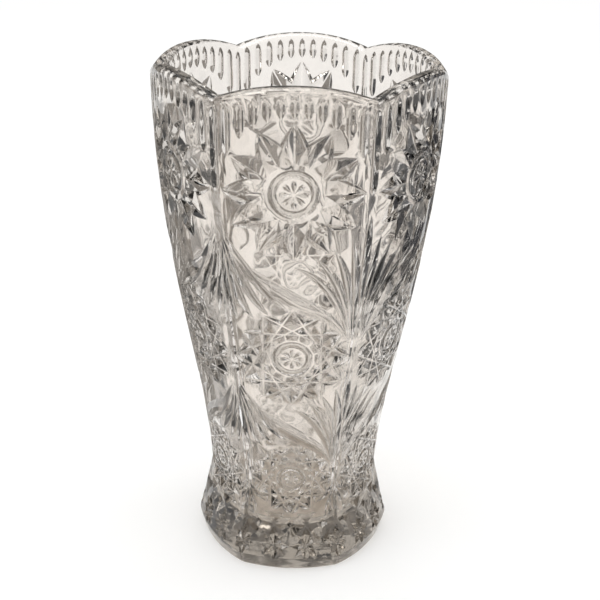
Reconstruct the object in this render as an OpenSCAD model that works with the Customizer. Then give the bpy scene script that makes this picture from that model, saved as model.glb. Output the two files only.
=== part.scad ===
// Cut crystal vase, one solid of clear glass. Six bowed panels stand on a lobed hexagon,
// narrow to a waist and flare again to the foot. Each panel carries three twelve-point stars,
// two sweeping bands with leaf fans, a fringe of rim flutes, and small stars and diamonds round
// the foot.
// The origin is the centre of the resting face. The panel drawn first faces -Y.

/* [Body] */
// Height to the top of the rim lobes
vase_h = 250; // [235:1:265]
// Rise of each rim lobe above the cusps at the corners
lobe_h = 6; // [3:0.5:8]
// Distance from the axis to a corner, at the rim
rim_r = 69; // [65:0.5:74]
// Distance from the axis to a corner, at the waist
waist_r = 43; // [40:0.5:46]
// Height of the waist
waist_z = 38; // [34:1:42]
// Distance from the axis to a corner, at the widest edge of the foot
foot_r = 50; // [47:0.5:53]
// Height of the widest edge of the foot
foot_z = 7; // [5:0.5:9]
// Distance from the axis to a corner, on the resting face
base_r = 48.5; // [45:0.5:50]
// How far a panel bows out between its corners, at the rim
rim_bow = 6.2; // [4:0.2:8]

/* [Cavity] */
// Thickness of the glass wall
wall = 6; // [5:0.25:7.5]
// Thickness of the glass under the cavity
floor_t = 18; // [12:1:24]
// Rounding where the cavity wall meets its floor
floor_fillet = 9; // [6:1:12]
// Rounding of the rim edges
rim_round = 2.4; // [1.5:0.1:2.6]

/* [Stars] */
// Points on each large star
star_points = 12; // [8:1:14]
// Radius of the upper star
upper_star_r = 31.5; // [27:0.5:33]
// Radius of the middle star
middle_star_r = 26.5; // [22:0.5:28]
// Radius of the lower star
lower_star_r = 20.5; // [17:0.5:22]
// Depth of the pits of the upper star; those of the others are shallower with their radius
star_depth = 2.9; // [1.8:0.1:3.2]
// Sides of the round moat in the upper star and of the hollow in each of the others
button_sides = 8; // [6:1:10]
// Depth of the moat and the hollows
button_depth = 1.2; // [0.8:0.1:1.6]

/* [Flutes] */
// Flutes from one corner to the next
flutes = 12; // [8:2:14]
// Length of the shortest flute, above the middle of the upper star
flute_l = 11; // [8:0.5:14]
// Plain bead left between the rim edge and the flutes
bead_h = 3.5; // [2.5:0.5:5]
// Depth of a flute
flute_depth = 1.5; // [1:0.1:2]
// Plain glass left between two neighbouring flutes
flute_gap = 2.5; // [1.8:0.1:3]

/* [Bands and leaves] */
// Width of the sweeping band
band_w = 7.6; // [6:0.2:9]
// Depth of the sweeping band
band_depth = 1.5; // [1.2:0.1:2.2]
// Leaves in each fan
leaves = 4; // [2:1:4]
// Width of a leaf
leaf_w = 5.8; // [4:0.2:6.2]
// Depth of a leaf
leaf_depth = 1.8; // [1.2:0.1:2.4]

/* [Foot] */
// Height of the foot band, up to the lower star
foot_band_h = 30; // [28:1:33]
// Height of the row of small stars
foot_star_z = 14; // [12:0.5:17]
// Small stars from one corner to the next
foot_stars = 3; // [3:1:4]
// Depth of the small stars
foot_star_depth = 1.6; // [1:0.1:2]
// Depth of the diamonds above them
diamond_depth = 2.2; // [1.4:0.1:2.6]

/* [Hidden] */

// Each panel is an edge of a hexagon, so it is half as wide each way as the corner is far out.
sides = 6;
side_angle = 360 / sides;
edge_cos = cos(side_angle / 2);
cusp_z = vase_h - lobe_h;
// Exponents that shape the flare above the waist, the flare of the foot and the rim lobes.
flare_power = 0.77;
foot_power = 1.1;
lobe_power = 2.2;
// The rings are level up to this far under the cusps, and above that they follow the lobes more
// and more.
lobe_reach = 40;
level_z = cusp_z - lobe_reach;
// Taper of the cavity below the waist, per millimetre of height.
draft = 0.06;
// Chamfer round the resting face.
base_edge = 1;
// Facets across a panel, and rings above the waist outside and down the cavity.
panel_steps = 5;
outer_rings = 6;
cavity_rings = 4;
// How far a cutter's sides run on past the glass, as a multiple of their length inside it.
reach = 2;
// Radii in a large star as shares of its own: inside and outside of its moat or hollow, and then
// the inner end, keel, notch and outer end of a pit between two raised points.
moat_in = 0.23;
moat_out = 0.36;
pit_in = 0.41;
pit_keel = 0.65;
pit_notch = 0.75;
pit_out = 0.97;
// The same for the inner end, shoulders, keel and tip of a sunk point.
kite_in = 0.58;
kite_wide = 0.71;
kite_keel = 0.76;
kite_tip = 0.99;
// Half width of a pit or a sunk point as a share of the angle between two points.
pit_spread = 0.45;
// Length of a flute's pointed end as a multiple of its width, and at most as a share of its own
// length.
flute_point = 1.3;
flute_point_share = 0.4;
// Rays of a small star, and as shares of its radius its upward and sideways rays and the valleys
// between two rays.
rays = 8;
ray_up = 1.5;
ray_side = 1.15;
ray_valley = 0.42;
// Plain glass left round the small stars and diamonds of the foot.
foot_gap = 0.4;
// Lower end of a diamond above the small stars, as a share of the space between two of them, and
// how far its top rises per millimetre away from the panel's middle.
diamond_low = 0.22;
diamond_rise = 0.3;
// A band's upper end as a share of the star's radius below its centre.
band_drop = 0.6;
// Slope of the band across the middle of its field.
band_slope = 0.29;
// Places along a band where it may bend, from -1 at the left corner to 1 at the right one.
BAND_PLACES = [-0.95, -0.6, 0, 0.55, 0.93];
// Fans as three lines that the roots, middles and tips of the leaves are spread along. Each is
// drawn between two places in a band's field.
FANS = [
    [[[-0.9, 0.95], [-0.93, 0.84]], [[-0.46, 0.59], [-0.92, 0.55]], [[-0.12, 0.43], [-0.84, 0.31]]],
    [[[0.87, 0.15], [0.92, 0.25]], [[0.58, 0.54], [0.88, 0.64]], [[0.04, 0.76], [0.77, 0.95]]]
];
// Ends of a leaf on a corner, as shares of the height of the band's field.
corner_leaf = [0.44, 1.1];

// Star heights: the lower star sits on the foot band, the upper one hangs under the flutes,
// and the middle one is halfway between them.
lower_star_z = foot_band_h + lower_star_r;
upper_star_z = vase_h - bead_h - flute_l - upper_star_r;
middle_star_z = (lower_star_z + lower_star_r + upper_star_z - upper_star_r) / 2;

// Bands, as [height at the star above, height at the star below].
BANDS = [
    [middle_star_z - band_drop * middle_star_r, lower_star_z],
    [upper_star_z - band_drop * upper_star_r, middle_star_z]
];

// Profile: distance from the axis to a corner at height z.
function foot_share(z) = pow((waist_z - z) / (waist_z - foot_z), foot_power);
function flare_share(z) =
    pow(sin(90 * pow(min(1, (z - waist_z) / (cusp_z - waist_z)), flare_power)), 2);
function corner_r(z) =
    z < foot_z ? base_r + (foot_r - base_r) * z / foot_z
    : z < waist_z ? waist_r + (foot_r - waist_r) * foot_share(z)
    : waist_r + (rim_r - waist_r) * flare_share(z);
function cavity_r(z) =
    corner_r(max(z, waist_z)) - wall / edge_cos - draft * max(0, waist_z - z);
function bow(r) = rim_bow * r / rim_r;

// Plan distance from the axis to a panel, u running from -1 to 1 between its corners.
function panel_y(r, u) = r * edge_cos + bow(r) * (1 - u * u);
// Height added at u so that the rings end in the lobes of the rim.
function lobe_lift(z, u) =
    lobe_h * (1 - pow(abs(u), lobe_power)) * max(0, z - level_z) / (cusp_z - level_z);

function turn(p, a) = [p.x * cos(a) - p.y * sin(a), p.x * sin(a) + p.y * cos(a), p.z];
function ring_point(r, z, side, u) =
    turn([r / 2 * u, -panel_y(r, u), z + lobe_lift(z, u)], side * side_angle);
function ring_points(r, z) = [
    for (side = [0 : sides - 1], step = [0 : panel_steps - 1])
        ring_point(r, z, side, 2 * step / panel_steps - 1)
];

// The wall's section, as [distance to a corner, height], up the outside and down the cavity.
function bend_in(i) = rim_round * (1 - cos(45 * i));
function bend_up(i) = rim_round * (1 - sin(45 * i));
function section() = concat(
    [[base_r - base_edge, 0], [base_r, base_edge], [foot_r, foot_z]],
    [for (i = [0 : outer_rings - 1])
        let (z = waist_z + (cusp_z - rim_round - waist_z) * i / outer_rings) [corner_r(z), z]],
    [for (i = [0 : 2]) [rim_r - bend_in(i), cusp_z - bend_up(i)]],
    [for (i = [2 : -1 : 0]) [cavity_r(cusp_z) + bend_in(i), cusp_z - bend_up(i)]],
    [for (i = [1 : cavity_rings])
        let (top = cusp_z - rim_round, z = top + (floor_t + floor_fillet - top) * i / cavity_rings)
        [cavity_r(z), z]],
    [for (a = [30 : 30 : 90])
        [cavity_r(floor_t + floor_fillet) - floor_fillet * (1 - cos(a)),
         floor_t + floor_fillet * (1 - sin(a))]]
);

// The uncut vase: rings of points joined by a skin, with a face at the foot and one at the
// cavity's floor.
module blank() {
    rings = [for (s = section()) ring_points(s[0], s[1])];
    n = sides * panel_steps;
    last = len(rings) - 1;
    polyhedron(
        points = [for (r = rings, p = r) p],
        faces = concat(
            [[for (i = [0 : n - 1]) i]],
            [[for (i = [n - 1 : -1 : 0]) last * n + i]],
            [for (k = [0 : last - 1], i = [0 : n - 1]) let (j = (i + 1) % n)
                [k * n + j, k * n + i, (k + 1) * n + i]],
            [for (k = [0 : last - 1], i = [0 : n - 1]) let (j = (i + 1) % n)
                [k * n + j, (k + 1) * n + i, (k + 1) * n + j]]
        )
    );
}

// A point on the front panel at [x, z], sunk into the glass by depth. The panel is an arch
// in plan, and a corner is a shallow ridge with the same end slope.
function arch_slope(z, x) = 2 * bow(corner_r(z)) * x / pow(corner_r(z) / 2, 2);
function in_panel(p, depth) =
    let (r = corner_r(p[1]), s = arch_slope(p[1], p[0]), k = depth / sqrt(1 + s * s))
    [p[0] - k * s, -panel_y(r, 2 * p[0] / r) + k, p[1]];
function in_corner(p, depth) =
    let (r = corner_r(p[1]), fall = tan(side_angle / 2) - arch_slope(p[1], r / 2))
    [p[0], -r + abs(p[0]) * fall + depth, p[1]];
function in_glass(p, depth, corner) = corner ? in_corner(p, depth) : in_panel(p, depth);

function polar(c, r, a) = c + r * [sin(a), cos(a)];
function mix(a, b, t) = a + (b - a) * t;

module wedge(points) {
    hull() polyhedron(points, [[for (i = [0 : len(points) - 1]) i]]);
}

// Points out past the glass, on the lines from the sunk point keel through spots on the glass.
function flanks(keel, spots, corner) =
    [for (s = spots) mix(keel, in_glass(s, 0, corner), reach)];

// A pit with flat sides: its outline on the glass runs through spots, and it is deepest at mid.
module pit(spots, mid, depth, corner = false) {
    keel = in_glass(mid, depth, corner);
    wedge(concat([keel], flanks(keel, spots, corner)));
}

// Sunk point and flanks of a groove at spot p, where it runs the way of run.
function station(p, run, w, depth, corner) =
    let (side = w / 2 * [run[1], -run[0]] / norm(run), keel = in_glass(p, depth, corner))
    concat([keel], flanks(keel, [p + side, p - side], corner));

// A groove along a path, pointed at both ends and at its full width in between.
module groove(path, w, depth) {
    last = len(path) - 1;
    stations = [for (i = [1 : last - 1])
        station(path[i], path[i + 1] - path[i - 1], w, depth, false)];
    wedge(concat(stations[0], flanks(stations[0][0], [path[0]], false)));
    for (i = [1 : 1 : last - 2]) wedge(concat(stations[i - 1], stations[i]));
    wedge(concat(stations[last - 2], flanks(stations[last - 2][0], [path[last]], false)));
}

// The round moat of a large star.
module moat(c, r) {
    stations = [for (a = [0 : 360 / button_sides : 359])
        let (keel = in_panel(polar(c, (moat_in + moat_out) / 2 * r, a), button_depth))
        concat([keel], flanks(keel, [for (m = [moat_in, moat_out]) polar(c, m * r, a)], false))];
    for (i = [0 : button_sides - 1])
        wedge(concat(stations[i], stations[(i + 1) % button_sides]));
}

// A large star of raised points, with a pit of four facets between each two.
module raised_star(z, r) {
    c = [0, z];
    step = 360 / star_points;
    for (a = [step / 2 : step : 360], s = [-1, 1])
        pit([polar(c, pit_in * r, a), polar(c, pit_out * r, a + s * pit_spread * step),
             polar(c, pit_notch * r, a)], polar(c, pit_keel * r, a), star_depth);
    moat(c, r);
}

// A large star of sunk points, each with four facets.
module sunk_star(z, r) {
    c = [0, z];
    step = 360 / star_points;
    for (a = [0 : step : 359])
        pit([polar(c, kite_in * r, a), polar(c, kite_wide * r, a - pit_spread * step),
             polar(c, kite_tip * r, a), polar(c, kite_wide * r, a + pit_spread * step)],
            polar(c, kite_keel * r, a), star_depth * r / upper_star_r);
    pit([for (a = [180 / button_sides : 360 / button_sides : 360]) polar(c, moat_out * r, a)],
        c, button_depth * r / upper_star_r);
}

// An upright groove of width w with pointed ends between two heights at x.
module flute(x, z_low, z_high, w, depth, corner = false) {
    point = min(flute_point * w, flute_point_share * (z_high - z_low));
    ends = [for (e = [[z_low, point], [z_high, -point]])
        let (s = station([x, e[0] + e[1]], [0, 1], w, depth, corner))
        concat(s, flanks(s[0], [[x, e[0]]], corner))];
    wedge(concat(ends[0], ends[1]));
}

// The flutes hang from the rim bead down to the circle of the upper star.
function flute_top(u) = vase_h - bead_h - lobe_h * pow(abs(u), lobe_power);
function flute_bottom(x) =
    upper_star_z + sqrt(max(0, pow(upper_star_r + 1, 2) - x * x));

flute_w = rim_r / flutes - flute_gap;

module rim_flutes() {
    pitch = rim_r / flutes;
    for (i = [1 - flutes / 2 : flutes / 2 - 1])
        flute(i * pitch, flute_bottom(i * pitch), flute_top(2 * i / flutes), flute_w, flute_depth);
}

// A place in a band's field: u across the panel and t from its lower to its upper height.
function in_field(b, u, t) =
    let (z = mix(b[1], b[0], t)) [u * corner_r(z) / 2, z];

// The sweeping band falls from the left corner to the right one in an S.
function band_fall(u) = 0.5 - band_slope * u - (0.5 - band_slope) * pow(u, 5);

module band(b) {
    groove([for (u = BAND_PLACES) in_field(b, u, band_fall(u))], band_w, band_depth);
}

// Fans of bent leaves: one falls from the band's upper end and one rises from its lower end.
module fan(b, f) {
    for (i = [0 : leaves - 1])
        let (t = i / (leaves - 1))
        groove([for (line = f) let (p = mix(line[0], line[1], t)) in_field(b, p[0], p[1])],
               leaf_w, leaf_depth);
}

module band_field(b) {
    band(b);
    for (f = FANS) fan(b, f);
}

// Small stars of eight rays in a row round the foot, under a row of diamonds. A star ends above
// the foot's widest edge and stays clear of its neighbours.
function foot_pitch() = corner_r(foot_star_z) / foot_stars;
function foot_star_r() = min(foot_star_z - foot_z, foot_pitch() / 2 / ray_side) - foot_gap;

module small_star(x, corner = false) {
    r = foot_star_r();
    c = [x, foot_star_z];
    step = 360 / rays;
    for (a = [0 : step : 359])
        let (length = a == 0 ? ray_up : abs(sin(a)) == 1 ? ray_side : 1)
        pit([c, polar(c, ray_valley * r, a - step / 2), polar(c, length * r, a),
             polar(c, ray_valley * r, a + step / 2)], c, foot_star_depth, corner);
}

// A diamond over the gap between two small stars. The outer ones reach up beside the lower star.
module foot_diamond(x) {
    low = foot_star_z + diamond_low * foot_pitch();
    mid = (low + foot_band_h) / 2;
    high = foot_band_h + diamond_rise * abs(x);
    half = min(foot_pitch() / 2, corner_r(mid) / 2 - abs(x)) - foot_gap;
    pit([[x, low], [x + half, mid], [x, high], [x - half, mid]], [x, mid], diamond_depth);
}

module foot_row() {
    for (i = [1 : foot_stars - 1]) small_star((i - foot_stars / 2) * foot_pitch());
    for (i = [0 : foot_stars - 1]) foot_diamond((i + 0.5 - foot_stars / 2) * foot_pitch());
}

module panel_cuts() {
    raised_star(upper_star_z, upper_star_r);
    sunk_star(middle_star_z, middle_star_r);
    sunk_star(lower_star_z, lower_star_r);
    for (b = BANDS) band_field(b);
    rim_flutes();
    foot_row();
}

// Cuts that lie across a corner. Leaves stand only on the corners where the bands end.
module corner_cuts(leafed) {
    flute(0, flute_bottom(rim_r / 2), flute_top(1), flute_w, flute_depth, true);
    small_star(0, true);
    if (leafed)
        for (b = BANDS)
            flute(0, mix(b[1], b[0], corner_leaf[0]), mix(b[1], b[0], corner_leaf[1]),
                  leaf_w, leaf_depth, true);
}

// Neighbouring panels mirror each other, so that bands and fans meet at the corners.
module glass_body() {
    color([0.86, 0.88, 0.88, 0.6])
        difference() {
            blank();
            for (side = [0 : sides - 1])
                rotate(side * side_angle) {
                    mirror([side % 2, 0, 0]) panel_cuts();
                    rotate(side_angle / 2) corner_cuts(side % 2 == 0);
                }
        }
}

glass_body();
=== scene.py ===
"""Looks of the cut crystal vase: one piece of clear glass, cut in mesh code round the CAD frame.

The pattern is laid out in millimetres on an unrolled panel: x runs across the panel from its
middle, z up the vase, and depth goes into the glass. Cutters are closed meshes taken off a
smooth blank, as a cutting wheel would do it. Neighbouring panels mirror each other.
"""
import math

import bpy
import mathutils
import numpy as np
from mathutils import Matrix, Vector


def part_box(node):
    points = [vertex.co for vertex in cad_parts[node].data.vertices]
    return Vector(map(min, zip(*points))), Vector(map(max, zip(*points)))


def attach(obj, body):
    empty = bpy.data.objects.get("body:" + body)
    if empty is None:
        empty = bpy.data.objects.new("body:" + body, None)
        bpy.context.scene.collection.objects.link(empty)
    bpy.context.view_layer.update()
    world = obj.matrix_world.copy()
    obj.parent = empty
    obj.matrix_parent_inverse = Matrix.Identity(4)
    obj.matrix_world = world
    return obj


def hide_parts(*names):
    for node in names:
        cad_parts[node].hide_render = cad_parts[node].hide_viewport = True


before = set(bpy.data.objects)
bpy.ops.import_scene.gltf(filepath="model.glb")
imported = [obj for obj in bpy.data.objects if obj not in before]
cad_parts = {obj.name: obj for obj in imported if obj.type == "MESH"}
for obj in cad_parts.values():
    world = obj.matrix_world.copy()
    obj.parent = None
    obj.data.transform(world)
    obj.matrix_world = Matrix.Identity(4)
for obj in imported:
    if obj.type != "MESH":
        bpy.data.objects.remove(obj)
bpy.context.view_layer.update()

MM = 0.001
NODE = "glass_body"
(_, _, _), (rim_corner_x, _, vase_top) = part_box(NODE)

# ---- Body, in millimetres -------------------------------------------------------------------
vase_h = vase_top / MM
lobe_h = 6.0
rim_r = rim_corner_x / MM
waist_r, waist_z = 43.0, 38.0
foot_r, foot_z = 50.0, 7.0
base_r = 48.5
rim_bow = 6.2
wall = 6.0
floor_t, floor_fillet = 18.0, 9.0
rim_round = 2.6
corner_round = 0.3
base_round = 1.2
flare_power, foot_power, lobe_power = 0.77, 1.1, 2.2
draft = 0.06
lobe_reach = 40.0

SIDES = 6
SIDE_ANGLE = math.tau / SIDES
EDGE_COS = math.cos(SIDE_ANGLE / 2)
cusp_z = vase_h - lobe_h
level_z = cusp_z - lobe_reach

# Facets of the smooth blank: the columns of a panel are closer together at its corners.
COLUMNS = np.concatenate([[-1, -0.965], np.linspace(-0.92, 0.92, 19), [0.965]])
base_rings, outer_rings, cavity_rings, bend_steps = 3, 66, 22, 6


def corner_r(z):
    """Distance from the axis to a corner at height z."""
    if z < foot_z:
        return base_r + (foot_r - base_r) * z / foot_z
    if z < waist_z:
        return waist_r + (foot_r - waist_r) * ((waist_z - z) / (waist_z - foot_z)) ** foot_power
    share = min(1.0, (z - waist_z) / (cusp_z - waist_z))
    return waist_r + (rim_r - waist_r) * math.sin(math.pi / 2 * share**flare_power) ** 2


def cavity_r(z):
    """Distance from the axis to a corner of the cavity, which tapers a little below the waist."""
    return corner_r(max(z, waist_z)) - wall / EDGE_COS - draft * max(0.0, waist_z - z)


def bow(r):
    """How far the middle of a panel stands out past the line between its corners."""
    return rim_bow * r / rim_r


def panel_y(r, u):
    """Plan distance from the axis to a panel, u running from -1 to 1 between its corners."""
    return r * EDGE_COS + bow(r) * (1 - u * u)


def on_panel(x, z, h=0.0):
    """A point of the front panel, h outside the glass along the panel's normal in plan."""
    r = corner_r(z)
    slope = 4 * bow(r) / r * (2 * x / r)
    k = h / math.hypot(1, slope)
    return np.array([x + k * slope, -panel_y(r, 2 * x / r) - k, z])


def on_corner(x, z, h=0.0):
    """A point on a plane that touches the corner, which is turned to face -Y."""
    return np.array([x, -corner_r(z) + corner_round - h, z])


# ---- The blank ------------------------------------------------------------------------------
def wall_section():
    """The wall from the resting face, up the outside and down the cavity, as (corner r, z)."""
    bends = np.linspace(0, math.pi / 2, bend_steps)
    shoulder = cusp_z - rim_round
    base = [(base_r - base_round * (1 - math.sin(a)), base_round * (1 - math.cos(a)))
            for a in bends]
    foot = [(corner_r(z), z) for z in np.linspace(base_round, foot_z, base_rings)[1:]]
    outside = [(corner_r(z), z) for z in np.linspace(foot_z, shoulder, outer_rings)[1:]]
    rim_out = [(rim_r - rim_round * (1 - math.cos(a)), cusp_z - rim_round * (1 - math.sin(a)))
               for a in bends[1:]]
    rim_in = [(cavity_r(cusp_z) + rim_round * (1 - math.cos(a)),
               cusp_z - rim_round * (1 - math.sin(a))) for a in bends[::-1]]
    low = floor_t + floor_fillet
    inside = [(cavity_r(z), z) for z in np.linspace(shoulder, low, cavity_rings)[1:]]
    fillet = [(cavity_r(low) - floor_fillet * (1 - math.cos(a)),
               floor_t + floor_fillet * (1 - math.sin(a))) for a in bends[1:]]
    return base + foot + outside + rim_out + rim_in + inside + fillet


def ring(r, z):
    """One ring of points round the vase; rings near the rim rise into its lobes."""
    lift = lobe_h * max(0.0, z - level_z) / (cusp_z - level_z)
    points = []
    for side in range(SIDES):
        c, s = math.cos(side * SIDE_ANGLE), math.sin(side * SIDE_ANGLE)
        for u in COLUMNS:
            inward = corner_round if abs(u) == 1 else 0.0
            x, y = r / 2 * u, -panel_y(r, u)
            scale = 1 - inward / r
            x, y = x * scale, y * scale
            points.append((x * c - y * s, x * s + y * c,
                           z + lift * (1 - abs(u) ** lobe_power)))
    return points


def blank_mesh():
    """The uncut vase, closed across the resting face and the cavity's floor."""
    rings = [ring(r, z) for r, z in wall_section()]
    n = len(rings[0])
    points = [p for r in rings for p in r]
    faces = []
    for k in range(len(rings) - 1):
        for i in range(n):
            j = (i + 1) % n
            faces.append((k * n + i, k * n + j, (k + 1) * n + j, (k + 1) * n + i))
    last = (len(rings) - 1) * n
    points += [(0, 0, 0), (0, 0, floor_t)]
    for i in range(n):
        j = (i + 1) % n
        faces.append((j, i, len(points) - 2))
        faces.append((last + i, last + j, len(points) - 1))
    return outward(np.array(points), faces)


# ---- Cutters --------------------------------------------------------------------------------
# A pit's cutter goes on past the glass, to this many times the way from its deepest point.
pit_reach = 1.7
# Sections of a groove, in half widths: where they end outside the glass, and their steps.
groove_edge, groove_steps = 1.3, 11
roll_edge, roll_lift, roll_half, roll_steps = 1.1, -0.2, 0.96, 21


def pit(outline, deepest, depth, place=on_panel):
    """A pit with flat sides: outline runs round it on the glass, with one deepest point."""
    keel = place(*deepest, -depth)
    top = [keel + (place(*p) - keel) * pit_reach for p in outline]
    points = [keel, sum(top) / len(top)] + top
    n = len(top)
    faces = []
    for i in range(n):
        j = (i + 1) % n
        faces += [(0, 2 + j, 2 + i), (1, 2 + i, 2 + j)]
    return outward(np.array(points), faces)


def rounded(power):
    """Section of a groove: power 1 makes a V, 2 a round bottom and more a flat one."""
    return [(v, 1 - abs(v) ** power) for v in np.linspace(-groove_edge, groove_edge, groove_steps)]


def rolling():
    """Section of a groove that rolls over into the glass beside it without an edge."""
    middle = [(v, math.cos(math.pi / 2 * v) ** 2)
              for v in np.linspace(-roll_half, roll_half, roll_steps)]
    return [(-roll_edge, roll_lift)] + middle + [(roll_edge, roll_lift)]


def groove(path, half_widths, depths, section, closed=False, place=on_panel):
    """A groove along a path, with the same section all along."""
    path = [np.array(p, float) for p in path]
    n = len(path)
    points = []
    for i, p in enumerate(path):
        before, after = (path[i - 1], path[(i + 1) % n]) if closed else \
            (path[max(i - 1, 0)], path[min(i + 1, n - 1)])
        along = (after - before) / np.linalg.norm(after - before)
        across = np.array([along[1], -along[0]])
        for v, share in section:
            x, z = p + across * v * half_widths[i]
            points.append(place(x, z, -depths[i] * share))
    m = len(section)
    faces = []
    for i in range(n if closed else n - 1):
        j = (i + 1) % n
        for k in range(m):
            q = (k + 1) % m
            faces.append((i * m + k, j * m + k, j * m + q, i * m + q))
    if not closed:
        faces.append(tuple(range(m)))
        faces.append(tuple(range((n - 1) * m, n * m))[::-1])
    return outward(np.array(points), faces)


def outward(points, faces):
    """The same mesh with its faces turned outward, told by the sign of its volume."""
    volume = 0.0
    for f in faces:
        for a, b in zip(f[1:-1], f[2:]):
            volume += np.dot(points[f[0]], np.cross(points[a], points[b]))
    if volume < 0:
        faces = [f[::-1] for f in faces]
    return points, faces


# ---- Layout helpers -------------------------------------------------------------------------
def polar(centre, r, degrees):
    """A point at r from the centre, degrees clockwise from straight up."""
    a = math.radians(degrees)
    return (centre[0] + r * math.sin(a), centre[1] + r * math.cos(a))


def beside(centre, r, degrees, gap):
    """A point at r and degrees, moved gap to the side, clockwise when gap is positive."""
    a = math.radians(degrees)
    p = polar(centre, r, degrees)
    return (p[0] + gap * math.cos(a), p[1] - gap * math.sin(a))


def star_corners(centre, r, turn, corners):
    """Points from corners that are given as a share of r and degrees past turn."""
    return [polar(centre, share * r, turn + degrees) for share, degrees in corners]


def inset(outline, gap):
    """A convex outline drawn in by gap on every side."""
    pts = [np.array(p, float) for p in outline]
    middle = sum(pts) / len(pts)
    lines = []
    for a, b in zip(pts, pts[1:] + pts[:1]):
        normal = np.array([b[1] - a[1], a[0] - b[0]])
        normal /= np.linalg.norm(normal)
        if np.dot(middle - a, normal) < 0:
            normal = -normal
        lines.append((normal, np.dot(a, normal) + gap))
    result = []
    for (n1, c1), (n2, c2) in zip(lines[-1:] + lines[:-1], lines):
        result.append(tuple(np.linalg.solve(np.array([n1, n2]), [c1, c2])))
    return result


def bezier(a, b, c, steps):
    a, b, c = (np.array(p, float) for p in (a, b, c))
    return [(1 - t) ** 2 * a + 2 * t * (1 - t) * b + t * t * c for t in np.linspace(0, 1, steps)]


# ---- Stars ----------------------------------------------------------------------------------
POINTS = 12
STEP = 360 / POINTS
HALF_STEP = STEP / 2
upper_star, upper_star_r, upper_star_depth = (0.0, 204.0), 31.5, 2.9
middle_star, middle_star_r = (0.0, 121.75), 26.5
lower_star, lower_star_r = (0.0, 50.5), 20.5
# Stars of thin ridges: centre, radius, depth, depth of the ring of pits inside.
WEB_STARS = [(middle_star, middle_star_r, 2.5, 1.1), (lower_star, lower_star_r, 2.2, 1.0)]
land, web_land = 0.28, 0.42
star_tip = 0.985

# Where the ridges of a web star cross, as shares of its radius.
web_valley, web_cross, web_rim = 0.5 / math.cos(math.pi / 4), 0.5 / math.cos(math.pi / 6), 0.5176
# Pits between those ridges and in the ring inside them, and the petals of a button. Each has
# its corners (share of the star's radius, degrees) and the share at which it is deepest.
TIP = [(1, 0), (web_valley, HALF_STEP), (web_cross, 0), (web_valley, -HALF_STEP)], 0.76
SECOND = [(web_valley, 0), (web_cross, HALF_STEP), (web_rim, 0), (web_cross, -HALF_STEP)], 0.61
THIRD = [(web_cross, 0), (web_rim, HALF_STEP), (web_rim, -HALF_STEP)], 0.53
RING_PIT = [(0.39, -14), (web_rim, -HALF_STEP), (web_rim, HALF_STEP), (0.39, 14)], 0.45
PETAL = [(0.02, 0), (0.14, 17), (0.2, 8), (0.2, -8), (0.14, -17)], 0.135
# The outer corners of the pits between two tips, and where those pits are deepest.
WEB_NOTCH = [(0.93, -6), (0.82, 0), (0.93, 6)], 0.785
BOLD_NOTCH = [(0.86, -7.5), (0.73, 0), (0.86, 7.5)], 0.645
# The inner corners of the bold star's pits, beside its ridges and between them.
bold_near, bold_foot = 0.415, 0.425
# Depths of the web star's lesser pits, as shares of its tips', and gaps round them.
second_share, third_share, notch_share = 0.75, 0.42, 0.6
third_land, ring_land, notch_land = 0.7, 0.45, 1.6

PETALS = 8
petal_depth = 0.9
moat_at, moat_half, moat_depth, moat_power, moat_steps = 0.295, 0.062, 1.15, 2, 48


def bold_star(c, r, depth):
    """Raised rhombic points with a ridge each: the pits between them have six facets."""
    near, far = bold_near * r, star_tip * r
    notch, keel = BOLD_NOTCH
    pits = []
    for k in range(POINTS):
        a = STEP * (k + 0.5)
        left, right = a - HALF_STEP, a + HALF_STEP
        outline = [beside(c, near, left, land), beside(c, far, left, land),
                   *star_corners(c, r, a, notch),
                   beside(c, far, right, -land), beside(c, near, right, -land),
                   polar(c, bold_foot * r, a)]
        pits.append(pit(outline, polar(c, keel * r, a), depth))
    return pits


def star_pit(c, r, turn, shape, gap, depth):
    """One pit of a star, drawn in by gap on every side."""
    corners, keel = shape
    return pit(inset(star_corners(c, r, turn, corners), gap), polar(c, keel * r, turn), depth)


def web_star(c, r, depth):
    """A star polygon drawn by thin ridges: each chord joins two points four steps apart."""
    gap = web_land * r / middle_star_r
    notch, keel = WEB_NOTCH
    tips, seconds, thirds, notches = [], [], [], []
    for k in range(POINTS):
        t, a = STEP * k, STEP * (k + 0.5)
        tips.append(star_pit(c, r, t, TIP, gap, depth))
        seconds.append(star_pit(c, r, a, SECOND, gap, second_share * depth))
        thirds.append(star_pit(c, r, t, THIRD, third_land * gap, third_share * depth))
        outline = [beside(c, star_tip * r, t, gap), *star_corners(c, r, a, notch),
                   beside(c, star_tip * r, t + STEP, -gap),
                   polar(c, web_valley * r + notch_land * gap, a)]
        notches.append(pit(outline, polar(c, keel * r, a), notch_share * depth))
    return tips + seconds + thirds + notches


def inner_ring(c, r, depth):
    """Twelve pits between a web star's innermost ridges and its button's moat."""
    gap = web_land * r / middle_star_r
    return [star_pit(c, r, STEP * k, RING_PIT, ring_land * gap, depth) for k in range(POINTS)]


def button(c, r):
    """A round moat and, inside it, a rosette of eight petals."""
    turns = np.linspace(0, 360, moat_steps + 1)[:-1]
    moat = groove([polar(c, moat_at * r, a) for a in turns], [moat_half * r] * moat_steps,
                  [moat_depth] * moat_steps, rounded(moat_power), closed=True)
    corners, keel = PETAL
    petals = []
    for k in range(PETALS):
        t = 360 / PETALS * k
        petals.append(pit(star_corners(c, r, t, corners), polar(c, keel * r, t), petal_depth))
    return [moat] + petals


# ---- Flutes under the rim -------------------------------------------------------------------
FLUTES = 12
flute_pitch = rim_r / FLUTES
flute_half, flute_depth = 2.4, 1.35
flute_point = 4.5
bead_h = 3.6
flute_gap, corner_flute_drop = 1.2, 1.0
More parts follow.
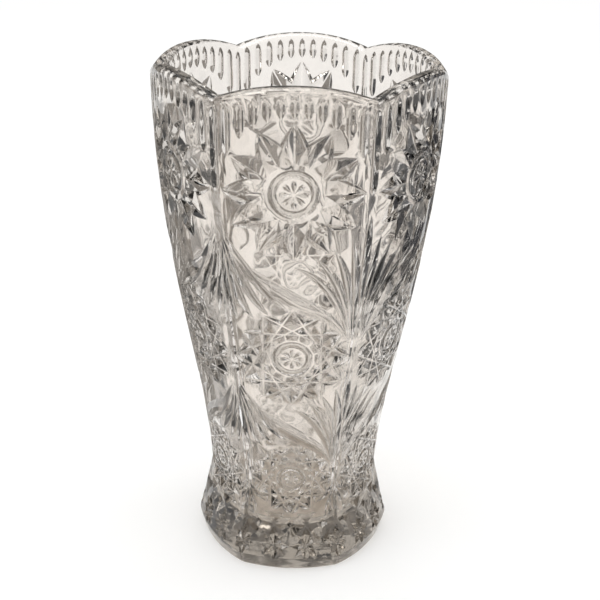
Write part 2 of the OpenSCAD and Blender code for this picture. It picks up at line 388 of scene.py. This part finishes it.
# The ends of an upright groove: their greatest share of its length, and how they taper.
end_share, end_start, end_steps, run_steps = 0.45, 0.15, 7, 3
width_power, depth_power = 0.6, 0.9


def upright(x, low, high, half, depth, section, place=on_panel, point=flute_point):
    """An upright groove that narrows and rises over its pointed ends."""
    length = high - low
    end = min(point, end_share * length)
    near = end * (1 - np.cos(np.linspace(end_start, math.pi / 2, end_steps)))
    run = np.linspace(end, length - end, run_steps)[1:-1]
    stops = np.concatenate([near, run, length - near[::-1]])
    swell = [math.sin(math.pi / 2 * min(1.0, s / end, (length - s) / end)) for s in stops]
    return groove([(x, low + s) for s in stops], [half * w**width_power for w in swell],
                  [depth * w**depth_power for w in swell], section, place=place)


def flute_low(x):
    """Flutes end on a circle round the upper star, and run on where it falls away."""
    r = upper_star_r + flute_gap
    return upper_star[1] + math.sqrt(max(0.0, r * r - x * x))


def flute_high(u):
    """Flutes stop under the rim's bead, which follows the lobes."""
    return vase_h - bead_h - lobe_h * abs(u) ** lobe_power


def rim_flutes():
    return [upright(i * flute_pitch, flute_low(i * flute_pitch), flute_high(2 * i / FLUTES),
                    flute_half, flute_depth, rolling())
            for i in range(1 - FLUTES // 2, FLUTES // 2)]


# ---- Bands and leaves -----------------------------------------------------------------------
# Each band crosses a field between two heights: its end at the left corner and at the right.
FIELDS = [(185.0, 121.75), (106.0, 50.5)]
# Leaves as Bezier points (root, bend, tip), each a place in a field: u across, t up.
LEFT_LEAVES = [((-0.92, 0.97), (-0.40, 0.50), (-0.10, 0.43)),
               ((-0.94, 0.95), (-0.66, 0.50), (-0.36, 0.37)),
               ((-0.95, 0.92), (-0.84, 0.48), (-0.60, 0.34)),
               ((-0.96, 0.88), (-0.97, 0.52), (-0.84, 0.31))]
RIGHT_LEAVES = [((0.89, 0.12), (0.70, 0.62), (0.02, 0.76)),
                ((0.90, 0.14), (0.80, 0.62), (0.30, 0.83)),
                ((0.91, 0.16), (0.86, 0.66), (0.54, 0.90)),
                ((0.93, 0.22), (0.93, 0.68), (0.78, 0.96))]
leaf_half, leaf_depth, leaf_power, leaf_steps = 2.2, 1.6, 1.5, 19
leaf_swell, leaf_least = 0.8, 0.04
band_half, band_depth, band_power, band_steps = 4.4, 1.5, 2.4, 25
band_swell, band_taper = 2.6, 0.25
band_ends, band_start, band_span, band_fall, band_hook = (0.02, 0.98), -0.97, 1.9, 0.29, 0.21


def across(u, z):
    """Distance from a panel's middle, u running from -1 to 1 between its corners."""
    return u * corner_r(z) / 2


def in_field(field, u, t):
    z = field[1] + (field[0] - field[1]) * t
    return (across(u, z), z)


def band(field):
    """A flat-bottomed groove that falls across a field in an S."""
    shares = np.linspace(*band_ends, band_steps)
    path = []
    for s in shares:
        u = band_start + band_span * s
        path.append(in_field(field, u, 0.5 - band_fall * u - band_hook * u**5))
    swell = [(1 - abs(2 * s - 1) ** band_swell) * (1 - band_taper * s) for s in shares]
    return groove(path, [band_half * w for w in swell], [band_depth * w for w in swell],
                  rounded(band_power))


def leaf(field, points):
    root, bend, tip = (in_field(field, *p) for p in points)
    path = bezier(root, bend, tip, leaf_steps)
    swell = [max(leaf_least, math.sin(math.pi * t) ** leaf_swell)
             for t in np.linspace(0, 1, leaf_steps)]
    return groove(path, [leaf_half * w for w in swell], [leaf_depth * w for w in swell],
                  rounded(leaf_power))


# ---- Foot -----------------------------------------------------------------------------------
foot_star_z = 13.5
foot_pitch = corner_r(foot_star_z) / 3
star_x = foot_pitch / 2
# Petals of a foot star: turn from upright, length and half width.
UPRIGHT_RAYS = [(0, 10.8, 2.5), (90, 7.9, 1.7), (180, 7.4, 2.1), (270, 7.9, 1.7)]
SLANTED_RAYS = [(42, 8.4, 1.9), (136, 7.8, 1.9), (224, 7.8, 1.9), (318, 8.4, 1.9)]
petal_slope = 0.95
petal_start, petal_wide, petal_keel = 0.45, 0.5, 0.46

diamond_low, diamond_z, diamond_high, diamond_depth = 17.2, 24.6, 30.2, 1.5
diamond_land, diamond_drop = 0.45, 0.8
# The diamonds at the corners lean: their upper corner, outer corner and deepest point.
outer_high, outer_lean, outer_land, outer_rise, outer_keel = 35.0, 1, 0.5, 1, 0.5
# A triangle between two diamonds: corners as x past the foot star and z over diamond_z.
TRIANGLE, triangle_keel, triangle_depth = [(0, 1.2), (4.6, 6.4), (2, 7.2), (-5, 6)], 4.8, 1.3
heart_z, heart_half, heart_depth = 24.4, 3.9, 2.9

# Short leaves that fall from the foot of a band: root and tip, each as u and height.
SHORT_LEAVES = [((0.97, 47.0), (0.60, 36.5)), ((0.97, 44.5), (0.80, 34.5))]
short_half, short_depth, short_power, short_steps, short_least = 1.3, 1.1, 1.3, 9, 0.06
# Where a short leaf bends, as shares of its root and tip, first across and then in height.
short_bend = (0.6, 0.4), (0.3, 0.7)

# Leaves on a corner: foot, top, half width, depth, power of the section, length of the point.
FOOT_LEAF = (25.5, 45, 1.5, 1.3, 1.3, 9)
TALL_LEAVES = [(148, 192, 2.1, 1.9, 1.6, 14), (84, 110, 1.8, 1.6, 1.6, 10)]


def foot_petals(x, rays, place=on_panel):
    """Pointed petals of one foot star, round its centre at x."""
    c = (x, foot_star_z)
    petals = []
    for turn, length, half in rays:
        wide = petal_wide * length
        outline = [polar(c, petal_start, turn), beside(c, wide, turn, half),
                   polar(c, length, turn), beside(c, wide, turn, -half)]
        petals.append(pit(outline, polar(c, petal_keel * length, turn), petal_slope * half,
                          place))
    return petals


def foot_diamonds():
    """Diamonds over the gaps between the foot stars, with triangles between them above."""
    x, low, mid, high = foot_pitch, diamond_low, diamond_z, diamond_high
    outer, half = corner_r(mid) / 2 - outer_land, star_x - diamond_land
    cuts = [pit([(0, low), (half, mid), (0, high), (-half, mid)], (0, mid - diamond_drop),
                diamond_depth)]
    for s in (-1, 1):
        outline = [(s * x, low), (s * outer, mid + outer_rise),
                   (s * (x + outer_lean), outer_high), (s * (x - half), mid)]
        cuts.append(pit(outline, (s * x, mid + outer_keel), diamond_depth))
        cuts.append(pit([(s * (star_x + dx), mid + dz) for dx, dz in TRIANGLE],
                        (s * star_x, mid + triangle_keel), triangle_depth))
    return cuts


def foot_hearts():
    """A smaller and deeper diamond in the middle of each diamond."""
    return [pit([(x, heart_z - heart_half), (x + heart_half, heart_z),
                 (x, heart_z + heart_half), (x - heart_half, heart_z)], (x, heart_z), heart_depth)
            for x in (-foot_pitch, 0, foot_pitch)]


def short_leaves():
    leaves = []
    for side in (-1, 1):
        for ends in SHORT_LEAVES:
            root, tip = [(across(side * u, z), z) for u, z in ends]
            bend = [r * a + t * b for r, t, (a, b) in zip(root, tip, short_bend)]
            path = bezier(root, bend, tip, short_steps)
            swell = [max(short_least, math.sin(math.pi * t))
                     for t in np.linspace(0, 1, short_steps)]
            leaves.append(groove(path, [short_half * w for w in swell],
                                 [short_depth * w for w in swell], rounded(short_power)))
    return leaves


def corner_leaf(low, high, half, depth, power, point):
    return upright(0, low, high, half, depth, rounded(power), on_corner, point)


# ---- All cuts -------------------------------------------------------------------------------
def panel_layers():
    """The cutters of one panel, in layers: no two cutters of a layer overlap."""
    stars = bold_star(upper_star, upper_star_r, upper_star_depth)
    buttons, rings = button(upper_star, upper_star_r), []
    for centre, r, depth, ring_depth in WEB_STARS:
        stars += web_star(centre, r, depth)
        buttons += button(centre, r)
        rings += inner_ring(centre, r, ring_depth)
    slanted, straight = ([c for x in (-star_x, star_x) for c in foot_petals(x, rays)]
                         for rays in (SLANTED_RAYS, UPRIGHT_RAYS))
    layers = [stars,
              buttons + rings + rim_flutes() + foot_diamonds(),
              [band(f) for f in FIELDS] + slanted + foot_hearts() + short_leaves(),
              straight]
    for left, right in zip(LEFT_LEAVES, RIGHT_LEAVES):
        layers.append([leaf(f, points) for f in FIELDS for points in (left, right)])
    return layers


def corner_layers(leafed):
    """The cutters across one corner. The upright leaves are where the bands end low."""
    flute = upright(0, upper_star[1] - corner_flute_drop, flute_high(1), flute_half, flute_depth,
                    rolling(), on_corner)
    tall = [corner_leaf(*sizes) for sizes in TALL_LEAVES] if leafed else []
    return [[flute] + foot_petals(0, UPRIGHT_RAYS, on_corner) + [corner_leaf(*FOOT_LEAF)],
            foot_petals(0, SLANTED_RAYS, on_corner) + tall]


def turned(cutter, angle, mirrored):
    points, faces = cutter
    points = points.copy()
    if mirrored:
        points[:, 0] *= -1
        faces = [f[::-1] for f in faces]
    c, s = math.cos(angle), math.sin(angle)
    return points @ np.array([[c, s, 0], [-s, c, 0], [0, 0, 1]]), faces


def all_layers():
    """The cutters of the whole vase, first on its panels and then across its corners."""
    layers = [[turned(c, s * SIDE_ANGLE, s % 2 == 1) for s in range(SIDES) for c in layer]
              for layer in panel_layers()]
    bare, leafed = corner_layers(False), corner_layers(True)
    for plain_layer, leafed_layer in zip(bare, leafed):
        layers.append([turned(c, (s + 0.5) * SIDE_ANGLE, False) for s in range(SIDES)
                       for c in (leafed_layer if s % 2 == 0 else plain_layer)])
    return layers


def new_object(name, points, faces):
    """A mesh object in the scene, from points in metres."""
    mesh = bpy.data.meshes.new(name)
    mesh.from_pydata(points, [], faces)
    obj = bpy.data.objects.new(name, mesh)
    bpy.context.scene.collection.objects.link(obj)
    return obj


def joined_object(name, parts):
    """One mesh object from several meshes in millimetres."""
    points, faces, start = [], [], 0
    for p, f in parts:
        points.append(p)
        faces += [tuple(i + start for i in face) for face in f]
        start += len(p)
    return new_object(name, (np.concatenate(points) * MM).tolist(), faces)


def carve(body, layers):
    """Takes each layer of cutters off the body."""
    for i, layer in enumerate(layers):
        tool = joined_object(f"cutters_{i}", layer)
        cut = body.modifiers.new("cut", "BOOLEAN")
        cut.solver = "MANIFOLD"
        cut.operation = "DIFFERENCE"
        cut.object = tool
        result = bpy.data.meshes.new_from_object(
            body.evaluated_get(bpy.context.evaluated_depsgraph_get()))
        body.modifiers.clear()
        old, body.data = body.data, result
        bpy.data.meshes.remove(old)
        bpy.data.meshes.remove(tool.data)


# ---- Shading, and marks for the material ----------------------------------------------------
sharp_angle = math.radians(16)
# Painted shade: full at this depth of a cut and none past deepest_cut; under foot_top the uncut
# foot is painted darker instead, to this share.
full_shade_depth, deepest_cut = 1.2, 4.5
foot_top, foot_shade = 27.0, 0.9
# Waves inside the cavity calm down between these heights, to this share.
calm_from, calm_to, calm_share = 145.0, 165.0, 0.6
ground_top = base_round / 4


def smooth_facets(body):
    """Smooth shading, broken where two faces meet at more than sharp_angle."""
    for p in body.data.polygons:
        p.use_smooth = True
    body.data.set_sharp_from_angle(angle=sharp_angle)


def sunk(x, y, z):
    """How far a point lies under the uncut glass, level with it."""
    angle = math.atan2(x, -y)
    angle -= SIDE_ANGLE * round(angle / SIDE_ANGLE)
    sideways, out = math.hypot(x, y) * np.array([math.sin(angle), math.cos(angle)])
    r = corner_r(z)
    return panel_y(r, 2 * sideways / r) - out


def mark_painted_shade(body):
    """Point attribute of painted shade: it grows with the depth of a cut, and on the foot with its
    lack, so the uncut foot is painted darker than its petals.
    """
    painted_shade_of = body.data.attributes.new("shade", "FLOAT", "POINT")
    for vertex, value in zip(body.data.vertices, painted_shade_of.data):
        x, y, z = vertex.co / MM
        depth = sunk(x, y, z)
        share = min(1.0, max(0.0, depth) / full_shade_depth)
        if depth > deepest_cut or z > cusp_z - rim_round or z < base_round:
            value.value = 0.0
        else:
            value.value = share if z > foot_top else foot_shade * (1 - share)


def mark_faces(body):
    """Face attributes: inside is above 0 on the cavity's wall, ground is 1 on the resting face."""
    inside = body.data.attributes.new("inside", "FLOAT", "FACE")
    ground = body.data.attributes.new("ground", "FLOAT", "FACE")
    for face, i, g in zip(body.data.polygons, inside.data, ground.data):
        x, y, z = face.center / MM
        inward = face.normal.x * x + face.normal.y * y < 0
        wavy = np.interp(z, (calm_from, calm_to), (1.0, calm_share))
        i.value = wavy if inward and z > floor_t + floor_fillet else 0.0
        g.value = 1.0 if z < ground_top else 0.0


vase = joined_object("cut_glass", [blank_mesh()])
carve(vase, all_layers())
smooth_facets(vase)
mark_faces(vase)
mark_painted_shade(vase)


# ---- Materials ------------------------------------------------------------------------------
def new_material(name):
    mat = bpy.data.materials.new(name)
    mat.use_nodes = True
    mat.node_tree.nodes.clear()
    return mat, mat.node_tree.nodes, mat.node_tree.links


def noise(nodes, links, coordinates, scale, detail=2.0):
    node = nodes.new("ShaderNodeTexNoise")
    node.inputs["Scale"].default_value = scale
    node.inputs["Detail"].default_value = detail
    links.new(coordinates, node.inputs["Vector"])
    return node.outputs["Fac"]


def blend(nodes, links, fac, a, b):
    """A mix of two colours, each written as numbers or coming from another node."""
    node = nodes.new("ShaderNodeMix")
    node.data_type = "RGBA"
    links.new(fac, node.inputs["Factor"])
    for colour, socket in ((a, node.inputs["A"]), (b, node.inputs["B"])):
        if isinstance(colour, tuple):
            socket.default_value = (*colour, 1)
        else:
            links.new(colour, socket)
    return node.outputs["Result"]


def remap(nodes, links, value, to_range, from_range=(0.0, 1.0)):
    node = nodes.new("ShaderNodeMapRange")
    links.new(value, node.inputs["Value"])
    node.inputs["From Min"].default_value, node.inputs["From Max"].default_value = from_range
    node.inputs["To Min"].default_value, node.inputs["To Max"].default_value = to_range
    return node.outputs["Result"]


def attribute(nodes, name):
    node = nodes.new("ShaderNodeAttribute")
    node.attribute_name = name
    return node.outputs["Fac"]


def scaled_sum(nodes, links, value, scale, other):
    """value * scale + other."""
    node = nodes.new("ShaderNodeMath")
    node.operation = "MULTIPLY_ADD"
    links.new(value, node.inputs[0])
    node.inputs[1].default_value = scale
    links.new(other, node.inputs[2])
    return node.outputs["Value"]


def show(nodes, links, shader):
    """The output node, with the shader on its surface."""
    out = nodes.new("ShaderNodeOutputMaterial")
    links.new(shader, out.inputs["Surface"])
    return out


glass_ior = 1.54
tint_low, tint_high, tint_scale = (0.925, 0.89, 0.855), (0.955, 0.922, 0.888), 18.0
# Painted shade: the dark colour that the glass turns towards in deep cuts, and the most of it.
painted_cut_shade_colour, most_painted_cut_shade = (0.33, 0.305, 0.275), 0.5
shadow_colour = (0.87, 0.86, 0.845)
depth_colour, depth_density = (0.64, 0.60, 0.54), 18.0
smear_scale, smear_detail, most_smear = 45.0, 4.0, 0.03
inside_haze, ground_haze = 0.08, 0.045
inside_waves, outside_waves = 1.0, 0.3
wave_scale, wave_height = 110.0, 0.0008
edge_softness, edge_samples = 0.0005, 4


def crystal_material():
    """Clear crystal with a faint warm tint, the slow ripple of fire-polished glass and haze.

    Deep cuts carry painted shade, darker with their depth, and the uncut field of the foot is
    painted darker than its petals. Shadow rays pass through the glass with a tint alone.
    """
    mat, nodes, links = new_material("crystal")
    place = nodes.new("ShaderNodeTexCoord").outputs["Object"]
    glass = nodes.new("ShaderNodeBsdfPrincipled")
    glass.inputs["Transmission Weight"].default_value = 1.0
    glass.inputs["IOR"].default_value = glass_ior
    tint = blend(nodes, links, noise(nodes, links, place, tint_scale), tint_low, tint_high)
    # Painted shade: the glass colour darkens towards a dark colour with the depth of the cuts, and
    # on the foot's uncut field.
    cuts = remap(nodes, links, attribute(nodes, "shade"), (0.0, most_painted_cut_shade))
    links.new(blend(nodes, links, cuts, tint, painted_cut_shade_colour), glass.inputs["Base Color"])
    inside = attribute(nodes, "inside")
    smear = remap(nodes, links, noise(nodes, links, place, smear_scale, smear_detail),
                  (0.0, most_smear))
    haze = scaled_sum(nodes, links, inside, inside_haze, smear)
    haze = scaled_sum(nodes, links, attribute(nodes, "ground"), ground_haze, haze)
    links.new(haze, glass.inputs["Roughness"])
    soften = nodes.new("ShaderNodeBevel")
    soften.samples = edge_samples
    soften.inputs["Radius"].default_value = edge_softness
    ripple = nodes.new("ShaderNodeBump")
    ripple.inputs["Distance"].default_value = wave_height
    links.new(remap(nodes, links, inside, (outside_waves, inside_waves)),
              ripple.inputs["Strength"])
    links.new(noise(nodes, links, place, wave_scale, 0.0), ripple.inputs["Height"])
    links.new(soften.outputs["Normal"], ripple.inputs["Normal"])
    links.new(ripple.outputs["Normal"], glass.inputs["Normal"])
    clear = nodes.new("ShaderNodeBsdfTransparent")
    clear.inputs["Color"].default_value = (*shadow_colour, 1)
    path = nodes.new("ShaderNodeLightPath")
    mix = nodes.new("ShaderNodeMixShader")
    links.new(path.outputs["Is Shadow Ray"], mix.inputs["Fac"])
    links.new(glass.outputs["BSDF"], mix.inputs[1])
    links.new(clear.outputs["BSDF"], mix.inputs[2])
    out = show(nodes, links, mix.outputs["Shader"])
    depth = nodes.new("ShaderNodeVolumeAbsorption")
    depth.inputs["Density"].default_value = depth_density
    depth.inputs["Color"].default_value = (*depth_colour, 1)
    links.new(depth.outputs["Volume"], out.inputs["Volume"])
    return mat


vase.data.materials.clear()
vase.data.materials.append(crystal_material())
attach(vase, "root")
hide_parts(NODE)


# ---- Floor ----------------------------------------------------------------------------------
floor_half, floor_z = 4.0, -0.0002
floor_lift = 0.12
floor_low, floor_high, floor_scale = (0.90, 0.90, 0.895), (0.92, 0.92, 0.915), 3.0
# Painted shadow and caustic light on the floor under the glass: its dark and its light colour.
painted_caustic_dark, painted_caustic_light = (0.52, 0.50, 0.465), (0.90, 0.89, 0.87)
patch_scale, patch_detail, patch_range = 120.0, 1.0, (0.35, 0.65)
# Distances from the vase's axis where the painted patches begin to show, and where they are full.
patch_fade = (0.045, 0.039)


def painted_caustics_under_glass(nodes, links, place, plain):
    """Painted light and shade: the patchy caustic light and shadow that the cut glass would throw
    on the floor under itself, painted into the floor's colour.
    """
    distance = nodes.new("ShaderNodeVectorMath")
    distance.operation = "LENGTH"
    links.new(place, distance.inputs[0])
    covered = remap(nodes, links, distance.outputs["Value"], (0.0, 1.0), patch_fade)
    patches = remap(nodes, links, noise(nodes, links, place, patch_scale, patch_detail),
                    (0.0, 1.0), patch_range)
    return blend(nodes, links, covered, plain, blend(nodes, links, patches, painted_caustic_dark, painted_caustic_light))


def floor_material():
    """Matt white, lifted to plain white where the camera or the glass sees it; under the glass it
    carries painted shadow and caustic light.
    """
    mat, nodes, links = new_material("floor_white")
    place = nodes.new("ShaderNodeTexCoord").outputs["Object"]
    matt = nodes.new("ShaderNodeBsdfDiffuse")
    plain = blend(nodes, links, noise(nodes, links, place, floor_scale), floor_low, floor_high)
    links.new(painted_caustics_under_glass(nodes, links, place, plain), matt.inputs["Color"])
    lift = nodes.new("ShaderNodeEmission")
    lift.inputs["Color"].default_value = (1, 1, 1, 1)
    path = nodes.new("ShaderNodeLightPath")
    seen = path.outputs["Is Camera Ray"]
    for kind in ("Is Glossy Ray", "Is Transmission Ray"):
        either = nodes.new("ShaderNodeMath")
        either.operation = "MAXIMUM"
        links.new(seen, either.inputs[0])
        links.new(path.outputs[kind], either.inputs[1])
        seen = either.outputs["Value"]
    links.new(remap(nodes, links, seen, (0.0, floor_lift)), lift.inputs["Strength"])
    both = nodes.new("ShaderNodeAddShader")
    links.new(matt.outputs["BSDF"], both.inputs[0])
    links.new(lift.outputs["Emission"], both.inputs[1])
    show(nodes, links, both.outputs["Shader"])
    return mat


floor = new_object("floor", [(x * floor_half, y * floor_half, floor_z)
                             for x, y in ((-1, -1), (1, -1), (1, 1), (-1, 1))], [(0, 1, 2, 3)])
floor.data.materials.append(floor_material())


# ---- Cards that show in the glass -----------------------------------------------------------
warm_grey, cool_dark, white = (0.62, 0.585, 0.545), (0.045, 0.047, 0.055), (1.0, 0.99, 0.97)
card_r, card_z, window_r, bearing_steps = 1.0, 0.0005, 0.98, 13
# bearings from and to, nearest distance, colour, strength
FLOOR_CARDS = [
    (-46, -34, 0.13, warm_grey, 0.45), (18, 30, 0.13, warm_grey, 0.3),
    (94, 141, 0.3, cool_dark, 1.0), (147, 160, 0.3, cool_dark, 1.0),
    (200, 250, 0.13, warm_grey, 0.5),
]
# bearings from and to, heights from and to, colour, strength
WALL_CARDS = [
    (-58, -38, 0.1, 1.3, warm_grey, 0.4), (-20, -4, 0.1, 1.3, warm_grey, 0.4),
    (16, 32, 0.1, 1.3, warm_grey, 0.4), (46, 60, 0.1, 1.3, warm_grey, 0.4),
    (66, 88, 0.1, 1.3, cool_dark, 1.0), (94, 120, 0.1, 1.3, cool_dark, 1.0),
    (125, 150, 0.1, 1.3, cool_dark, 1.0),
    (150, 210, 0.18, 0.66, warm_grey, 0.42), (150, 210, 0.66, 1.3, warm_grey, 0.7),
    (210, 232, 0.1, 1.3, warm_grey, 0.5), (246, 268, 0.1, 1.3, warm_grey, 0.5),
    (282, 300, 0.1, 1.3, warm_grey, 0.5),
]
# name, bearings from and to, heights from and to, strength
WINDOWS = [("window_left", -52, -24, 0.75, 1.25, 5.0),
           ("window_back", 168, 196, 0.98, 1.08, 2.5),
           ("window_right", 12, 30, 0.85, 1.4, 4.0)]
ceiling_x, ceiling_y, ceiling_z, ceiling_strength = (-0.45, 0.15), (-0.7, -0.2), 1.5, 5.0


def glow_material(name, colour, strength):
    mat, nodes, links = new_material(name)
    glow = nodes.new("ShaderNodeEmission")
    glow.inputs["Color"].default_value = (*colour, 1)
    glow.inputs["Strength"].default_value = strength
    show(nodes, links, glow.outputs["Emission"])
    return mat


def stage_card(name, points, faces, colour, strength):
    """A glowing card that lights nothing and shows only through the glass and in it."""
    obj = new_object(name, points, faces)
    obj.data.materials.append(glow_material(name, colour, strength))
    obj.visible_camera = False
    obj.visible_diffuse = False
    obj.visible_shadow = False


def at_bearing(radius, degrees):
    """A place round the vase in plan: bearing 0 is in front and 90 at +X."""
    return radius * math.sin(math.radians(degrees)), -radius * math.cos(math.radians(degrees))


def standing_card(name, radius, start, end, low, high, colour, strength):
    """A curved card round the vase, from one bearing and height to another."""
    points, faces = [], []
    for bearing in np.linspace(start, end, bearing_steps):
        x, y = at_bearing(radius, bearing)
        points += [(x, y, low), (x, y, high)]
    for i in range(0, len(points) - 2, 2):
        faces.append((i, i + 2, i + 3, i + 1))
    stage_card(name, points, faces, colour, strength)


def lying_card(name, near, far, start, end, colour, strength):
    """A flat card on the floor round the vase, from one bearing to another."""
    corners = [(near, start), (near, end), (far, end), (far, start)]
    points = [(*at_bearing(radius, bearing), card_z) for radius, bearing in corners]
    stage_card(name, points, [(0, 1, 2, 3)], colour, strength)


for number, (start, end, near, colour, strength) in enumerate(FLOOR_CARDS, 1):
    lying_card(f"floor_card_{number}", near, card_r, start, end, colour, strength)
for number, (start, end, low, high, colour, strength) in enumerate(WALL_CARDS, 1):
    standing_card(f"wall_card_{number}", card_r, start, end, low, high, colour, strength)
for name, start, end, low, high, strength in WINDOWS:
    standing_card(name, window_r, start, end, low, high, white, strength)
(west, east), (front, back) = ceiling_x, ceiling_y
stage_card("ceiling_lamp", [(west, front, ceiling_z), (east, front, ceiling_z),
                            (east, back, ceiling_z), (west, back, ceiling_z)],
           [(0, 1, 2, 3)], white, ceiling_strength)

# ---- Light ----------------------------------------------------------------------------------
# name, place, size, energy
LAMPS = [("key_light", (-0.7, -0.5, 1.3), 0.7, 3.0), ("fill_light", (0.9, 0.3, 1.2), 0.5, 1.5)]
lamp_aim = (0, 0, 0.1)
world_strength = 0.95


def soft_lamp(name, place, size, energy):
    """A square white lamp, turned to the vase."""
    lamp = bpy.data.lights.new(name, "AREA")
    lamp.shape = "SQUARE"
    lamp.size = size
    lamp.energy = energy
    obj = bpy.data.objects.new(name, lamp)
    bpy.context.scene.collection.objects.link(obj)
    obj.location = place
    direction = mathutils.Vector(lamp_aim) - mathutils.Vector(place)
    obj.rotation_euler = direction.to_track_quat("-Z", "Y").to_euler()


for row in LAMPS:
    soft_lamp(*row)

world = bpy.data.worlds.new("studio")
bpy.context.scene.world = world
world.use_nodes = True
background = world.node_tree.nodes["Background"]
background.inputs["Color"].default_value = (1, 1, 1, 1)
background.inputs["Strength"].default_value = world_strength

# ---- Camera ---------------------------------------------------------------------------------
camera_distance, camera_height = 0.5179, 0.3499
camera_pitch, camera_roll, camera_turn = (math.radians(a) for a in (23.15, 0.88, 1.25))
focal_px, centre_px, frame_px = 1126.4, 295.6, 600
sensor_mm, clip_start = 36.0, 0.01

spin = mathutils.Matrix.Rotation(camera_turn, 3, "Z")
forward = spin @ mathutils.Vector((0, math.cos(camera_pitch), -math.sin(camera_pitch)))
level_right = spin @ mathutils.Vector((1, 0, 0))
level_up = level_right.cross(forward)
right = math.cos(camera_roll) * level_right + math.sin(camera_roll) * level_up
up = right.cross(forward)
facing = mathutils.Matrix((right, up, -forward)).transposed().to_4x4()
facing.translation = spin @ mathutils.Vector((0, -camera_distance, camera_height))

camera_data = bpy.data.cameras.new("camera")
camera_data.sensor_width = sensor_mm
camera_data.lens = sensor_mm * focal_px / frame_px
camera_data.shift_x = (frame_px / 2 - centre_px) / frame_px
camera_data.clip_start = clip_start
camera = bpy.data.objects.new("camera", camera_data)
bpy.context.scene.collection.objects.link(camera)
camera.matrix_world = facing
bpy.context.scene.camera = camera
bpy.context.scene.view_settings.view_transform = "Standard"
